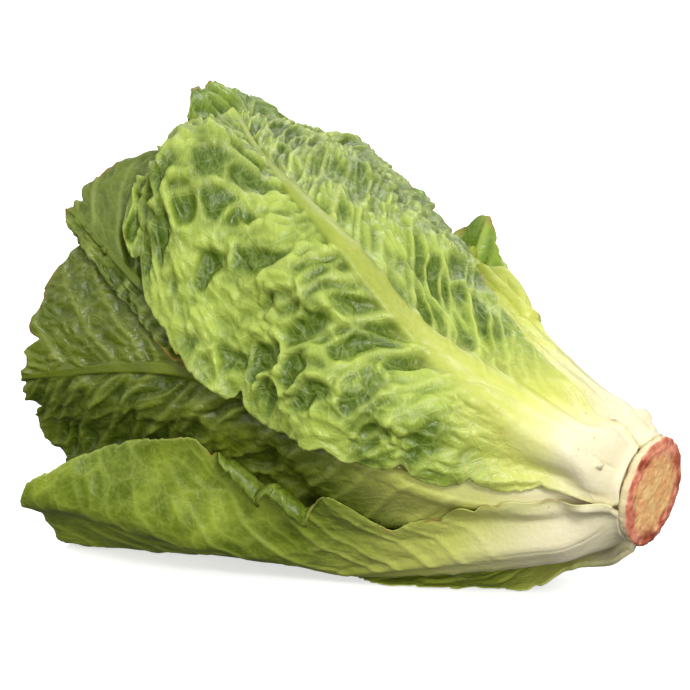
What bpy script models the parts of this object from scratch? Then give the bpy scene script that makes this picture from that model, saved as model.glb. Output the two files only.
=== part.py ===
"""A cut head of romaine lettuce lying on its side: a stem core and 25 nested leaves, each its own body.

The head is laid out in head coordinates: a station along the head axis (0 at the cut), an angle round
the axis (0 up, growing towards the front) and a radius from the axis. The leaves are laid from the heart
outwards, each one clear of those already there, and the outermost ones rest on the ground.
"""

import math
from collections import namedtuple

import bmesh
import bpy
import numpy as np
from mathutils import Vector

MM = 0.001

# The head as a whole
STEM_RADIUS = 20 * MM  # at the cut
STEM_HEIGHT = 46 * MM  # the centre of the cut above the ground
AXIS_RISE = math.radians(6.5)  # the tips lie higher than the cut
MOUTH_STATION = 200 * MM  # where the outer leaves have their full spread
MOUTH_RADIUS = 97 * MM
SPREAD_POWER = 0.80  # below 1 the head is fuller near the stem

# The stem: a butt at the cut, then a core that tapers away among the leaves
BUTT_LENGTH = 3.4 * MM
BUTT_BEVEL = 1 * MM
CORE_RADIUS = 16.4 * MM
CORE_LENGTH = 78 * MM
CORE_END = 74 * MM
CORE_POWER = 1.5
STEM_SIDES = 32

# Spacing of the layers of leaves
LAYER_NEAR = 4.2 * MM
LAYER_MORE = 4.4 * MM
LAYER_STATION = 60 * MM
SEAT_GAP = 0.35 * MM  # leaf base to stem core
SEAT_HALF = 0.42  # the share of the base's half width that grows in to the core
LEAF_GAP = 0.7 * MM  # leaf to leaf

# Leaf section
BLADE_THICK = 0.9 * MM
RIB_THICK = 5.4 * MM
BASE_THICK = 3.6 * MM
RIB_END_THICK = 1.6 * MM
RIB_PROUD = 0.35  # the share of the rib that stands out of the blade on the outer face
RIPPLE = 2.2 * MM  # the height of the waves along the margins
RIPPLE_LENGTH = 58 * MM
CLASP = 2.2 * MM  # the length of the base that hugs the core
SWELL = 10 * MM  # how far past its base a leaf reaches its layer

# Head coordinates are tabled for this map of earlier layers
MAP_STEP = 1.25 * MM
MAP_START = -10 * MM
MAP_ROWS = 212
MAP_TURN = 144
SAMPLES = 9
SETTLE_PASSES = 7

OUTER_GRID = (13, 11)
HEART_GRID = (11, 9)
WIDTH_AT = (0, 0.08, 0.25, 0.45, 0.65, 0.85, 1)
RIB_AT = (0, 1 / 3, 2 / 3, 1)

GREEN = (0.22, 0.36, 0.05)
PALE = (0.62, 0.70, 0.28)
STEM_COLOUR = (0.72, 0.42, 0.25)

# layer: how many layers under the surface; start, end: stations in mm; rib: angle of the midrib in degrees
# at RIB_AT; plus, minus: half widths in mm at WIDTH_AT towards growing and falling angle; cap: how far the
# corners of the tip fall back in mm; flare: outward turn of the plus and the minus margin in mm
# tuck: the angles between which it goes under, or leans in, and by how many layers
Leaf = namedtuple("Leaf", "name layer start end rib plus minus cap flare tuck", defaults=(None,))

OUTER = (
    Leaf("leaf_02_top_back", 0.6, 5.0, 200, (-20, -26, -33, -38),
         (10.5, 14, 22, 45, 58, 56, 42), (10.5, 14, 24, 42, 54, 50, 36), 26, (1, 3)),
    Leaf("leaf_03_back", 0.3, 4.8, 192, (-88, -82, -76, -70),
         (11, 17, 38, 56, 56, 46, 34), (11, 15, 28, 48, 60, 56, 40), 24, (7, 4)),
    Leaf("leaf_01_top_front", 0.0, 4.6, 208, (58, 42, 25, -4),
         (10.5, 16.5, 31, 46, 68, 80, 80), (10.5, 13, 23, 50, 74, 64, 46), 20, (2, 8)),
    Leaf("leaf_04_front_low", 0.05, 4.6, 226, (134, 143, 149, 149),
         (13, 20, 32, 46, 58, 58, 44), (12.5, 20.5, 32, 46, 75, 80, 72), 12, (0, 0), (145, 160, 1.15)),
    Leaf("leaf_05_under", 0.0, 5.0, 196, (204, 196, 189, 186),
         (11, 16, 30, 48, 60, 58, 42), (11, 18, 34, 44, 42, 36, 26), 24, (2, 12)),
)
SECOND = (
    Leaf("leaf_06_under_back", 1.75, 14.0, 208, (240, 238, 232, 228),
         (9.5, 14, 28, 46, 60, 60, 44), (9.5, 14, 28, 46, 60, 60, 44), 24, (2, 2)),
    Leaf("leaf_07_far_back", 1.55, 14.5, 206, (300, 302, 306, 310),
         (9.5, 14, 28, 46, 60, 60, 44), (9.5, 14, 28, 46, 60, 60, 44), 24, (3, 3)),
    Leaf("leaf_08_under_front", 1.75, 13.5, 214, (170, 168, 165, 162),
         (9.5, 14, 26, 44, 50, 46, 36), (9.5, 14, 26, 40, 44, 42, 34), 24, (0, 0)),
    Leaf("leaf_09_top", 0.9, 16.2, 233, (18, 6, -5, -16),
         (9.5, 14, 27, 44, 58, 60, 46), (9.5, 14, 27, 44, 58, 60, 44), 22, (2, 6)),
    Leaf("leaf_10_front", 1.2, 16.8, 226, (101, 85, 75, 87),
         (9.5, 15, 28, 46, 62, 62, 50), (9.5, 14, 28, 44, 60, 70, 64), 14, (1, 1), (84, 106, 1.3)),
    Leaf("leaf_11_front_top", 0.85, 12.6, 227, (62, 66, 64, 46),
         (9.5, 13, 18, 18, 16, 14, 12), (9.5, 14, 27, 44, 60, 62, 44), 18, (1, 2)),
)

# The heart: leaves in a spiral up the core
HEART_COUNT = 14
HEART_TURN = 137.5
HEART_FIRST_ANGLE = 137
HEART_START = 21.0
HEART_START_STEP = 3.0
HEART_END = 216.0
HEART_END_STEP = 4.6
HEART_LAYER = 2.6
HEART_LAYER_STEP = 0.25
HEART_WIDTHS = (8.5, 13, 25, 40, 50, 50, 34)
HEART_WIDTH_STEP = 0.045
HEART_WRAP = 1.3  # the widest half width as a multiple of the radius


def curve(x, xs, ys):
    """A smooth curve through the points."""
    xs = np.asarray(xs, float)
    ys = np.asarray(ys, float)
    slope = np.gradient(ys, xs)
    i = np.clip(np.searchsorted(xs, x) - 1, 0, len(xs) - 2)
    h = xs[i + 1] - xs[i]
    t = np.clip((x - xs[i]) / h, 0, 1)
    rise = t * t * (3 - 2 * t)
    return (ys[i] * (1 - rise) + ys[i + 1] * rise
            + h * t * (1 - t) * (slope[i] * (1 - t) - slope[i + 1] * t))


def ease(x):
    x = np.clip(x, 0, 1)
    return x * x * (3 - 2 * x)


def core_radius(station):
    return CORE_RADIUS * (1 - np.clip(station / CORE_LENGTH, 0, 1) ** CORE_POWER)


def head_radius(station):
    part = np.clip(station, 0, None) / MOUTH_STATION
    return STEM_RADIUS + (MOUTH_RADIUS - STEM_RADIUS) * part ** SPREAD_POWER


def layer_step(station):
    return LAYER_NEAR + LAYER_MORE * (1 - np.exp(-station / LAYER_STATION))


def ground_radius(station, angle):
    """The radius at which a point of this station and angle touches the ground."""
    down = np.maximum(-np.cos(angle) * math.cos(AXIS_RISE), 1e-3)
    return (STEM_HEIGHT + station * math.sin(AXIS_RISE)) / down


def place(station, angle, radius):
    """World points for head coordinates, with the cut's centre over the origin."""
    up = radius * np.cos(angle)
    x = -station * math.cos(AXIS_RISE) + up * math.sin(AXIS_RISE)
    z = STEM_HEIGHT + station * math.sin(AXIS_RISE) + up * math.cos(AXIS_RISE)
    return np.stack([x, -radius * np.sin(angle), z], -1)


def unplace(points):
    """Head coordinates of world points."""
    z = points[..., 2] - STEM_HEIGHT
    station = z * math.sin(AXIS_RISE) - points[..., 0] * math.cos(AXIS_RISE)
    up = z * math.cos(AXIS_RISE) + points[..., 0] * math.sin(AXIS_RISE)
    side = -points[..., 1]
    return station, np.arctan2(side, up), np.hypot(up, side)


def grid_normals(points):
    """Unit normals of a grid of points, facing away from the head axis."""
    along = np.gradient(points, axis=0)
    across = np.gradient(points, axis=1)
    normal = np.cross(across, along)
    return normal / np.linalg.norm(normal, axis=-1, keepdims=True)


def weights(fine):
    """The share of each corner of a cell at fine by fine points inside it."""
    a, b = np.meshgrid(np.linspace(0, 1, fine), np.linspace(0, 1, fine), indexing="ij")
    return [(1 - a) * (1 - b), a * (1 - b), (1 - a) * b, a * b]


def between(grid, fine):
    """Points inside each cell of a grid, fine by fine, as rows of cells."""
    shape = (1, 1, fine, fine) + (1,) * (grid.ndim - 2)
    corner = [grid[:-1, :-1], grid[1:, :-1], grid[:-1, 1:], grid[1:, 1:]]
    return sum(w.reshape(shape) * c[:, :, None, None] for w, c in zip(weights(fine), corner))


def spread(lack):
    """How far each grid point has to move for every point inside its cells to gain what it lacks."""
    share = weights(lack.shape[2])
    total = sum(w * w for w in share)
    push = np.zeros((lack.shape[0] + 1, lack.shape[1] + 1))
    for weight, (i, j) in zip(share, ((0, 0), (1, 0), (0, 1), (1, 1))):
        part = push[i:i + lack.shape[0], j:j + lack.shape[1]]
        np.maximum(part, (lack * weight / total).max(axis=(2, 3)), out=part)
    return push


class Layers:
    """How far out from the axis the head is filled, by station and angle."""

    def __init__(self):
        stations = MAP_START + MAP_STEP * np.arange(MAP_ROWS)
        self.filled = np.repeat(core_radius(stations)[:, None], MAP_TURN, axis=1)

    def cells(self, station, angle):
        row = np.round((station - MAP_START) / MAP_STEP).astype(int)
        turn = np.round(angle / (2 * math.pi) * MAP_TURN).astype(int)
        return np.clip(row, 0, MAP_ROWS - 1), turn % MAP_TURN

    def around(self):
        """The fill with each cell raised to its highest neighbour."""
        rows = np.pad(self.filled, ((1, 1), (0, 0)), mode="edge")
        high = np.maximum(np.maximum(rows[:-2], rows[1:-1]), rows[2:])
        return np.maximum(np.maximum(np.roll(high, 1, 1), high), np.roll(high, -1, 1))

    def add(self, points):
        station, angle, radius = unplace(between(points, 3 * SAMPLES))
        row, turn = self.cells(station, angle)
        np.maximum.at(self.filled, (row, turn), radius)


def stations_of(leaf, rows):
    """Stations of the rows of a leaf, close together at its base."""
    start = leaf.start * MM
    first = start + np.array([0, CLASP, 3 * CLASP])
    rest = np.linspace(first[-1], leaf.end * MM, rows - 2)[1:]
    return np.concatenate([first, rest])


def leaf_shape(leaf, grid):
    """The station, angle, thickness and wanted radius of each grid point of a leaf's outer face."""
    rows, columns = grid
    middle = stations_of(leaf, rows)[:, None]
    share = (middle - middle[0]) / (middle[-1] - middle[0])
    side = np.linspace(1, -1, columns)[None, :]
    side = np.sign(side) * np.abs(side) ** 1.25
    half = np.where(side > 0, curve(share, WIDTH_AT, leaf.plus), curve(share, WIDTH_AT, leaf.minus)) * MM
    station = middle - leaf.cap * MM * share ** 5 * np.abs(side) ** 3
    level = np.clip(head_radius(station) - leaf.layer * layer_step(station), 3 * MM, None)
    base = core_radius(middle[0, 0]) + SEAT_GAP + BASE_THICK * size_of(leaf)
    reach = ease((middle - middle[0] - CLASP) / SWELL)
    spine = base + (level - base) * reach
    across = side * half
    angle = np.radians(curve(share, RIB_AT, leaf.rib)) + across / spine
    thick = thickness(leaf, middle, share, np.abs(across), half)
    proud = RIB_PROUD * (thick - BLADE_THICK) * reach
    radius = spine + proud + flared(leaf, side) * ease(share / 0.3)
    radius = radius - tucked(leaf, angle) * layer_step(station) * ease((middle - 20 * MM) / (50 * MM))
    radius = radius + rippled(leaf, middle, share, side)
    return station + 0 * angle, angle, thick, folded(leaf, station, angle, radius)


def flared(leaf, side):
    """How far the margins turn outwards."""
    plus, minus = leaf.flare
    return np.where(side > 0, plus, minus) * MM * np.abs(side) ** 3


def rippled(leaf, middle, share, side):
    """The waves of the margins, each leaf with its own."""
    phase = leaf.start + leaf.end
    wave = np.sin(2 * math.pi * middle / RIPPLE_LENGTH + phase + 2 * np.sign(side))
    return RIPPLE * size_of(leaf) * wave * ease(share / 0.4) * side ** 2


def tucked(leaf, angle):
    """How many layers under its own a leaf lies at this angle."""
    if leaf.tuck is None:
        return 0 * angle
    first, last, deep = leaf.tuck
    return deep * ease((angle - math.radians(first)) / math.radians(last - first))


def size_of(leaf):
    """Ribs and bases thin out towards the heart."""
    return 1 - 0.1 * leaf.layer


def thickness(leaf, middle, share, across, half):
    full = RIB_THICK * size_of(leaf)
    base = BASE_THICK * size_of(leaf)
    rib = np.interp(share, (0, 0.1, 0.3, 1), (base, full, 0.92 * full, RIB_END_THICK))
    broad = curve(share, (0, 0.12, 0.3, 0.5, 1), (12, 11.5, 8.5, 5.5, 2.5)) * MM
    return BLADE_THICK + (rib - BLADE_THICK) * np.exp(-((across / broad) ** 2)) + 0 * half


FOLD_AT = (60, 90, 120, 154, 187, 217)  # stations of the fold along the low front leaf, in mm
FOLD_ANGLE = (150, 143, 134, 125, 117, 112)
FOLD_RISE = 3 * MM
FOLD_FALL = 11 * MM
FOLD_HOLLOW = 6 * MM
FOLD_SPAN = math.radians(24)
FOLD_HALF = math.radians(12)


def folded(leaf, station, angle, radius):
    """The low front leaf has a fold along it, and leans in above the fold."""
    if not leaf.name.endswith("front_low"):
        return radius
    fold = np.radians(curve(station / MM, FOLD_AT, FOLD_ANGLE))
    grow = ease((station - 90 * MM) / (70 * MM))
    above = ease((fold - angle) / FOLD_SPAN)
    crest = np.exp(-(((fold - angle) / FOLD_HALF) ** 2))
    below = ease((angle - fold) / FOLD_HALF)
    return radius + grow * (FOLD_RISE * crest - FOLD_FALL * above - FOLD_HOLLOW * below)


def settle(leaf, grid, layers):
    """Raises a leaf clear of the layers under it. It returns its outer face and its thickness."""
    station, angle, thick, radius = leaf_shape(leaf, grid)
    ground = ground_radius(station, angle)
    lift = (leaf.layer + tucked(leaf, angle)) * layer_step(station)
    free = between(station, SAMPLES) > leaf.start * MM + 2 * CLASP
    gap = np.where(free, LEAF_GAP, 0.5 * SEAT_GAP)
    around = layers.around()
    radius = np.minimum(radius, np.maximum(ground - lift, core_radius(station) + thick))
    for _ in range(SETTLE_PASSES):
        outer = place(station, angle, radius)
        inner = outer - grid_normals(outer) * thick[..., None]
        s, a, r = unplace(between(inner, SAMPLES))
        row, turn = layers.cells(s, a)
        need = np.where(free, around[row, turn], layers.filled[row, turn])
        radius = radius + spread(np.clip(need + gap - r, 0, None))
    outer = place(station, angle, radius)
    return outer, thick + seated(outer, thick)


def seated(outer, thick):
    """How much thicker the middle of the base is where a neighbour holds the leaf off the core."""
    s, _, r = unplace(outer - grid_normals(outer) * thick[..., None])
    side = np.linspace(1, -1, thick.shape[1])
    more = np.clip(r - core_radius(s) - SEAT_GAP, 0, None) * np.exp(-((side / SEAT_HALF) ** 2))
    more[1:] = 0
    return more


def material(name, colour, roughness):
    made = bpy.data.materials.new(name)
    made.use_nodes = True
    shader = made.node_tree.nodes["Principled BSDF"]
    shader.inputs["Base Color"].default_value = (*colour, 1)
    shader.inputs["Roughness"].default_value = roughness
    made.diffuse_color = (*colour, 1)
    return made


def add_object(name, mesh, collection, colour, roughness):
    obj = bpy.data.objects.new(name, mesh)
    collection.objects.link(obj)
    mesh.materials.append(material(name, colour, roughness))
    return obj


def add_leaf(leaf, outer, thick, collection):
    rows, columns = thick.shape
    shape = bmesh.new()
    bmesh.ops.create_grid(shape, x_segments=columns - 1, y_segments=rows - 1, size=1)
    for vert, point in zip(shape.verts, outer.reshape(-1, 3)):
        vert.co = point
    mesh = bpy.data.meshes.new(leaf.name)
    shape.to_mesh(mesh)
    shape.free()
    inner_part = min(leaf.layer / 6, 1)
    colour = [g + (p - g) * inner_part for g, p in zip(GREEN, PALE)]
    obj = add_object(leaf.name, mesh, collection, colour, 0.45)
    group = obj.vertex_groups.new(name="rib")
    most = float(thick.max())
    for index, value in enumerate(thick.reshape(-1)):
        group.add([index], float(value) / most, "REPLACE")
    solid = obj.modifiers.new("thickness", "SOLIDIFY")
    solid.thickness = most
    solid.offset = -1
    solid.vertex_group = "rib"
    return obj


def butt_points():
    """Points round the cut, the furthest that the stem reaches."""
    turn = np.linspace(0, 2 * math.pi, 4 * STEM_SIDES)
    return np.concatenate([place(0 * turn, turn, 0 * turn + STEM_RADIUS - BUTT_BEVEL),
                           place(0 * turn + BUTT_BEVEL, turn, 0 * turn + STEM_RADIUS)])


def add_stem(collection, origin):
    """The butt and the core, turned about the head axis."""
    stations = np.linspace(BUTT_LENGTH + 1.2 * MM, CORE_END, 12)
    profile = [(0, 0), (STEM_RADIUS - BUTT_BEVEL, 0), (STEM_RADIUS, BUTT_BEVEL), (STEM_RADIUS, BUTT_LENGTH)]
    profile += [(float(core_radius(s)), float(s)) for s in stations]
    profile += [(0, CORE_END + 1 * MM)]
    mesh = bpy.data.meshes.new("stem")
    edges = [(i, i + 1) for i in range(len(profile) - 1)]
    mesh.from_pydata([(r, 0, -s) for r, s in profile], edges, [])
    obj = add_object("stem", mesh, collection, STEM_COLOUR, 0.6)
    turn = obj.modifiers.new("turn", "SCREW")
    turn.axis = "Z"
    turn.steps = STEM_SIDES
    turn.render_steps = STEM_SIDES
    turn.use_merge_vertices = True
    turn.merge_threshold = 0.00001
    obj.location = Vector((0, 0, STEM_HEIGHT)) - Vector(origin)
    obj.rotation_euler = (0, math.pi / 2 + AXIS_RISE, 0)
    return obj


def heart_leaf(index):
    layer = HEART_LAYER + HEART_LAYER_STEP * index
    angle = HEART_FIRST_ANGLE + HEART_TURN * index
    shrink = 1 - HEART_WIDTH_STEP * index
    end = HEART_END - HEART_END_STEP * index
    start = HEART_START + HEART_START_STEP * index
    level = [float(head_radius(x * end * MM) - layer * layer_step(x * end * MM)) / MM for x in WIDTH_AT]
    widths = [min(w * shrink, HEART_WRAP * max(r, 5)) for w, r in zip(HEART_WIDTHS, level)]
    name = "leaf_%02d_heart" % (len(OUTER) + len(SECOND) + index + 1)
    return Leaf(name, layer, start, end, (angle, angle + 3, angle - 2, angle), widths, widths, 20, (0, 0))


def lay_leaves():
    """Each leaf with its outer face and thickness, from the heart outwards."""
    layers = Layers()
    laid = []
    for leaf in [heart_leaf(i) for i in reversed(range(HEART_COUNT))] + list(SECOND) + list(OUTER):
        outer, thick = settle(leaf, HEART_GRID if "heart" in leaf.name else OUTER_GRID, layers)
        layers.add(outer)
        laid.append((leaf, outer, thick))
    return laid


def build():
    for obj in list(bpy.data.objects):
        bpy.data.objects.remove(obj)
    collection = bpy.data.collections.new("romaine_lettuce_head")
    bpy.context.scene.collection.children.link(collection)
    laid = lay_leaves()
    points = np.concatenate([outer.reshape(-1, 3) for _, outer, _ in laid] + [butt_points()])
    low, high = points.min(0), points.max(0)
    origin = np.array([(low[0] + high[0]) / 2, (low[1] + high[1]) / 2, low[2]])
    add_stem(collection, origin)
    for leaf, outer, thick in laid:
        add_leaf(leaf, outer - origin, thick, collection)


build()
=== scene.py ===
"""A cut head of romaine lettuce on a pale floor. Each leaf is a closed shell with its ribs, veins, blisters
and margin in its shape, laid from the heart outwards in head coordinates: a station along the head axis
(0 at the cut), an angle round it (0 up, growing towards the front) and a radius. Lengths are in mm.
"""
import math
from collections import namedtuple

import bpy
import numpy as np
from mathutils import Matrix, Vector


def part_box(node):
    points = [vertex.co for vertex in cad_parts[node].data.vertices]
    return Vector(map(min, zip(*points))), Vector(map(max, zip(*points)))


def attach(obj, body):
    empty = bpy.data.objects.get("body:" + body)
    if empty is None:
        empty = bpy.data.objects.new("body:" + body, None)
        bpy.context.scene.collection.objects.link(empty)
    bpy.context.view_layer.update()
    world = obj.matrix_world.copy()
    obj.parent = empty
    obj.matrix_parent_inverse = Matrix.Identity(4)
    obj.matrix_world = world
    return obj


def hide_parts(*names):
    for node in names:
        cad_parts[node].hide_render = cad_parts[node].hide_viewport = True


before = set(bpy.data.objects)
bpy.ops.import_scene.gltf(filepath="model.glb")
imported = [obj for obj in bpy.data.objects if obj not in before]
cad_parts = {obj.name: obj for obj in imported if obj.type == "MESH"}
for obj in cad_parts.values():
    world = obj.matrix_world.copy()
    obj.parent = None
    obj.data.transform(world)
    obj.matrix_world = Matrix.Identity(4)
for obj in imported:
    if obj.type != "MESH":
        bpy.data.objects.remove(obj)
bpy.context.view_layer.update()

# The head
STEM_RADIUS = 20.0
STEM_HEIGHT = 46.0
AXIS_RISE = math.radians(6.5)
MOUTH_STATION = 200.0
MOUTH_RADIUS = 97.0
SPREAD_POWER = 0.80
CORE_RADIUS = 16.4
CORE_LENGTH = 78.0
CLASP = 2.2
SWELL = 10.0
WAIST_DEPTH = 6.5
WAIST_ANGLE = -30
WAIST_WIDTH = 48
WIDTH_AT = (0, 0.08, 0.25, 0.45, 0.65, 0.85, 1)
RIB_AT = (0, 1 / 3, 2 / 3, 1)

# Leaf section
BLADE_THICK = 0.5
RIB_THICK = 5.0
BASE_THICK = 3.5
RIB_END_THICK = 1.2
RIB_PROUD = 0.45
RELIEF_ROOM = 0.4
LEAF_GAP = 1.0
SEAT_GAP = 0.35
VEIN_SPACING = 13.0
WAVE_LENGTH = 58

# The map of what is already laid
MAP_STEP = 1.25
MAP_START = -10.0
MAP_ROWS = 216
MAP_TURN = 288
SAMPLES = 5
SETTLE_PASSES = 7

# Leaf and shell grids, as rows along the leaf and columns across it
COARSE_GRID = (25, 21)
COARSE_HEART_GRID = (15, 13)
FINE_HEART_GRID = (90, 64)
FINE_OTHER_GRID = (130, 100)
FINE_GRIDS = {
    "leaf_01_top_front": (250, 196), "leaf_10_front": (250, 180), "leaf_11_front_top": (230, 120),
    "leaf_04_front_low": (250, 190), "leaf_05_under": (190, 150), "leaf_09_top": (190, 150),
    "leaf_03_back": (190, 150), "leaf_02_top_back": (190, 150),
}
SIDE_POWER = 1.25  # above 1, the columns stand closer together near the rib
FLOOR_GAP = 0.15  # mm

# layer: how many leaves deep it lies; start, end: stations; rib: the midrib's angle along it, in degrees;
# plus, minus: half widths on the two sides; cap: how far the tip's corners are rounded; flare: how far the
# margins stand out; tuck: where it goes under its neighbour; spring: the share of the length at which the
# flare begins
Leaf = namedtuple("Leaf", "name layer start end rib plus minus cap flare tuck spring", defaults=(None, 0.28))
OUTER = (
    Leaf("leaf_03_back", 0.75, 4.8, 192, (-84, -77, -72, -68),
         (11, 17, 40, 46, 43, 38, 30), (11, 15, 28, 48, 60, 56, 40), 24, (2, 4)),
    Leaf("leaf_02_top_back", 0.4, 5.0, 200, (-14, -18, -25, -32),
         (10.5, 20, 36, 50, 58, 56, 42), (9, 11, 14, 10, 12, 26, 22), 26, (1, 1)),
    Leaf("leaf_01_top_front", 0.0, 4.6, 210, (58, 42, 25, -4),
         (12.5, 20, 38, 55, 72, 85, 86), (11.5, 17.5, 31, 53, 76, 77, 60), 12, (2, 7)),
    Leaf("leaf_04_front_low", 0.05, 4.6, 226, (134, 143, 149, 149),
         (13, 20, 32, 46, 58, 58, 44), (14, 24, 35, 53, 78, 80, 72), 12, (0, 0), (145, 160, 1.15)),
    Leaf("leaf_05_under", 0.0, 5.0, 196, (204, 196, 189, 186),
         (11, 16, 30, 48, 60, 58, 42), (11, 12, 22, 43, 44, 36, 26), 24, (2, 12), None, 0.06),
)
SECOND = (
    Leaf("leaf_06_under_back", 1.75, 14.0, 208, (240, 238, 232, 228),
         (9.5, 14, 28, 46, 60, 60, 44), (9.5, 14, 28, 46, 60, 60, 44), 24, (2, 2)),
    Leaf("leaf_07_far_back", 1.55, 14.5, 206, (300, 302, 306, 310),
         (9.5, 14, 28, 46, 60, 60, 44), (9.5, 14, 28, 46, 60, 60, 44), 24, (3, 3)),
    Leaf("leaf_08_under_front", 1.75, 13.5, 214, (170, 168, 165, 162),
         (9.5, 14, 26, 44, 50, 46, 36), (9.5, 14, 26, 40, 44, 42, 34), 24, (0, 0)),
    Leaf("leaf_09_top", 0.9, 16.2, 233, (18, 6, -5, -16),
         (9.5, 14, 27, 44, 58, 56, 40), (9.5, 14, 27, 44, 54, 46, 24), 18, (2, 4)),
    Leaf("leaf_10_front", 1.2, 16.8, 226, (101, 85, 75, 87),
         (9.5, 15, 28, 46, 62, 62, 50), (9.5, 14, 28, 44, 60, 70, 64), 14, (1, 1), (84, 106, 1.3)),
    Leaf("leaf_11_front_top", 0.85, 12.6, 227, (62, 66, 64, 46),
         (9.5, 13, 18, 18, 16, 14, 12), (9.5, 14, 27, 44, 60, 62, 44), 18, (1, 2)),
)
# The heart: leaves in a spiral up the core
HEART_COUNT = 14
HEART_TURN = 137.5
HEART_FIRST_ANGLE = 137
HEART_LAYER = 2.6
HEART_LAYER_STEP = 0.25
HEART_START = 21
HEART_START_STEP = 3.0
HEART_END = 216.0
HEART_END_STEP = 4.6
HEART_WIDTHS = (8.5, 13, 25, 40, 50, 50, 34)
HEART_WIDTH_STEP = 0.045
HEART_WRAP = 1.3  # the widest half width as a multiple of the radius

# How each leaf is detailed. light, dark: its greens (sRGB); dent, blister: heights in mm; lobe, nick: depths
# of the margin's rounded lobes and small nicks; rib: how green the rib is; plus, minus, tip: notches of the
# margin as (station or share, depth, width)
Look = namedtuple("Look", "light dark dent blister lobe nick rib plus minus tip", defaults=(0.5, (), (), ()))
LOOKS = {
    "leaf_01_top_front": Look(
        (174, 194, 80), (72, 98, 2), 3.1, 1.9, 0.0, 1.4, 0.9,
        ((194, 7, 2.5), (172, 3, 3), (136, 7, 2.2), (113, 2, 3),
         (97, 2.5, 3), (71, 5, 4), (49, 5, 3.5), (29, 3, 3)),
        ((170, 4, 2.5), (149, 6, 2.5), (129, 6, 2.2), (110, 4, 3), (92, 2.5, 2), (74, 2.5, 2), (57, 2, 2)),
        ((-0.25, 4, 0.05), (0.7, 5, 0.08))),
    # The front leaf's greens are dark partly because it is its own darker green and partly as painted shade
    # where leaf_01 overhangs it.
    "leaf_10_front": Look(
        (106, 120, 24), (60, 76, 6), 2.4, 1.4, 1.0, 2.0, 0.12,
        ((204, 3, 2), (180, 3, 2), (120, 4, 4), (95, 4, 3)), (),
        ((0.35, 5, 0.03), (-0.3, 6, 0.04), (0.8, 4, 0.05))),
    "leaf_11_front_top": Look(
        (112, 128, 36), (64, 82, 10), 2.6, 1.2, 1.5, 1.2, 0.15, (), (), ((-0.2, 3, 0.05),)),
    "leaf_04_front_low": Look(
        (178, 196, 64), (90, 110, 16), 0.6, 0.4, 0.6, 1.5, 0.5,
        ((150, 3, 4),), ((151, 9, 4), (128, 2, 4), (81, 21, 12), (64, 7, 6), (49, 3, 2), (42, 2, 2)),
        ((0.5, 3, 0.1),)),
    # The underside leaf's greens are brightened to make up for the shade it lies in: painted light.
    "leaf_05_under": Look((196, 208, 84), (140, 160, 40), 1.4, 1.0, 3.5, 2.2),
    "leaf_09_top": Look((122, 148, 18), (74, 102, 4), 2.0, 1.2, 3.5, 1.6),
    "leaf_03_back": Look(
        (104, 136, 12), (52, 84, 2), 1.8, 1.1, 3.0, 2.6, 0.5, ((132, 8, 4), (115, 7, 2.5), (103, 4, 3))),
    "leaf_02_top_back": Look((138, 166, 26), (84, 116, 8), 1.6, 1.0, 3.0, 1.8),
}
OTHER = Look((134, 156, 36), (84, 108, 12), 2.0, 1.2, 3.0, 1.8)


def curve(x, xs, ys):
    """A smooth curve through the points."""
    xs = np.asarray(xs, float)
    ys = np.asarray(ys, float)
    slope = np.gradient(ys, xs)
    i = np.clip(np.searchsorted(xs, x) - 1, 0, len(xs) - 2)
    h = xs[i + 1] - xs[i]
    t = np.clip((x - xs[i]) / h, 0, 1)
    rise = t * t * (3 - 2 * t)
    return (ys[i] * (1 - rise) + ys[i + 1] * rise
            + h * t * (1 - t) * (slope[i] * (1 - t) - slope[i + 1] * t))


def ease(x):
    x = np.clip(x, 0, 1)
    return x * x * (3 - 2 * x)


def core_radius(station):
    """The radius of the core that the leaves grow from."""
    return CORE_RADIUS * (1 - np.clip(station / CORE_LENGTH, 0, 1) ** 1.5)


def head_radius(station):
    """The radius of the head's outside, from the cut to its mouth."""
    share = np.clip(station, 0, None) / MOUTH_STATION
    return STEM_RADIUS + (MOUTH_RADIUS - STEM_RADIUS) * share ** SPREAD_POWER


def layer_step(station):
    """How far apart two layers of leaves lie."""
    return 4.2 + 4.4 * (1 - np.exp(-station / 60))


def waist(station, angle):
    """The head is slimmer near the stem on its far upper side."""
    off = np.abs((angle - math.radians(WAIST_ANGLE) + math.pi) % (2 * math.pi) - math.pi)
    depth = WAIST_DEPTH * ease(station / 16) * (1 - ease((station - 35) / 75))
    return depth * np.exp(-((off / math.radians(WAIST_WIDTH)) ** 2))


def place(station, angle, radius):
    """World points for head coordinates, with the cut's centre over the origin."""
    up = radius * np.cos(angle)
    x = -station * math.cos(AXIS_RISE) + up * math.sin(AXIS_RISE)
    z = STEM_HEIGHT + station * math.sin(AXIS_RISE) + up * math.cos(AXIS_RISE)
    return np.stack([x, -radius * np.sin(angle), z], -1)


def unplace(points):
    """Head coordinates for world points."""
    z = points[..., 2] - STEM_HEIGHT
    station = z * math.sin(AXIS_RISE) - points[..., 0] * math.cos(AXIS_RISE)
    up = z * math.cos(AXIS_RISE) + points[..., 0] * math.sin(AXIS_RISE)
    side = -points[..., 1]
    return station, np.arctan2(side, up), np.hypot(up, side)


def grid_normals(points):
    normal = np.cross(np.gradient(points, axis=1), np.gradient(points, axis=0))
    return normal / (np.linalg.norm(normal, axis=-1, keepdims=True) + 1e-9)


def weights(fine):
    """The shares of a cell's four corners at fine by fine points inside it."""
    a, b = np.meshgrid(np.linspace(0, 1, fine), np.linspace(0, 1, fine), indexing="ij")
    return [(1 - a) * (1 - b), a * (1 - b), (1 - a) * b, a * b]


def between(grid, fine):
    """Points inside every cell of the grid, fine by fine of them."""
    shape = (1, 1, fine, fine) + (1,) * (grid.ndim - 2)
    corner = [grid[:-1, :-1], grid[1:, :-1], grid[:-1, 1:], grid[1:, 1:]]
    return sum(w.reshape(shape) * c[:, :, None, None] for w, c in zip(weights(fine), corner))


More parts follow.
